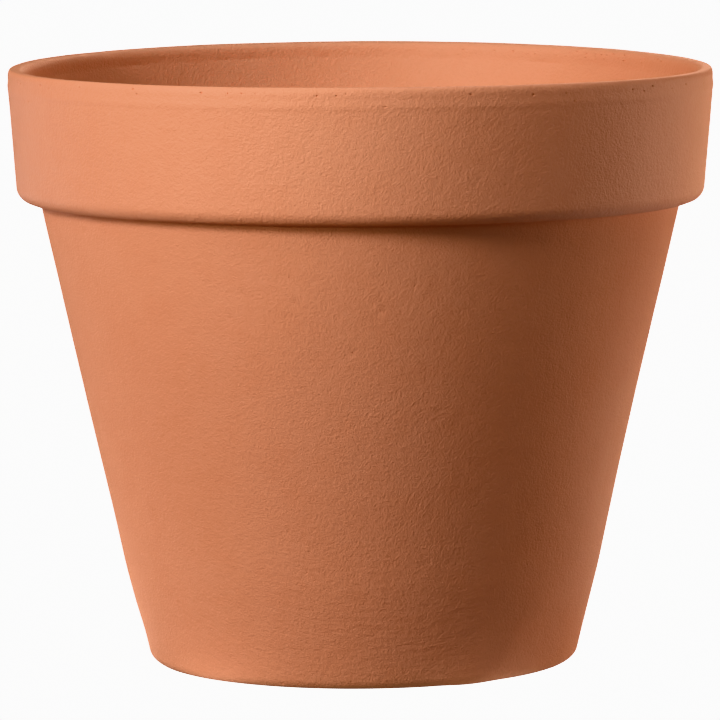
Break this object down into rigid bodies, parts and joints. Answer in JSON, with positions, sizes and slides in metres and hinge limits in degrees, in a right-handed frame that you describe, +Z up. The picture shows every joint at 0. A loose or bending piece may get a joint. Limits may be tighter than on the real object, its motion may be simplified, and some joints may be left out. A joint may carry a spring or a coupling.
{
  "type": "terracotta plant pot",
  "caption": "Round tapered clay plant pot, open at the top, with a deep rim band, a rounded lip and a drainage hole in its flat base.",
  "frame": {"origin": "centre of the foot, on the surface that the pot stands on", "axes": "+Z up along the pot's axis of turning; X and Y are alike, because the pot is round"},
  "size_m": [0.305, 0.305, 0.259],
  "materials": {
    "terracotta": "matt, unglazed, fine-grained"
  },
  "bodies": {
    "root": {"pot": "terracotta"}
  },
  "joints": []
}
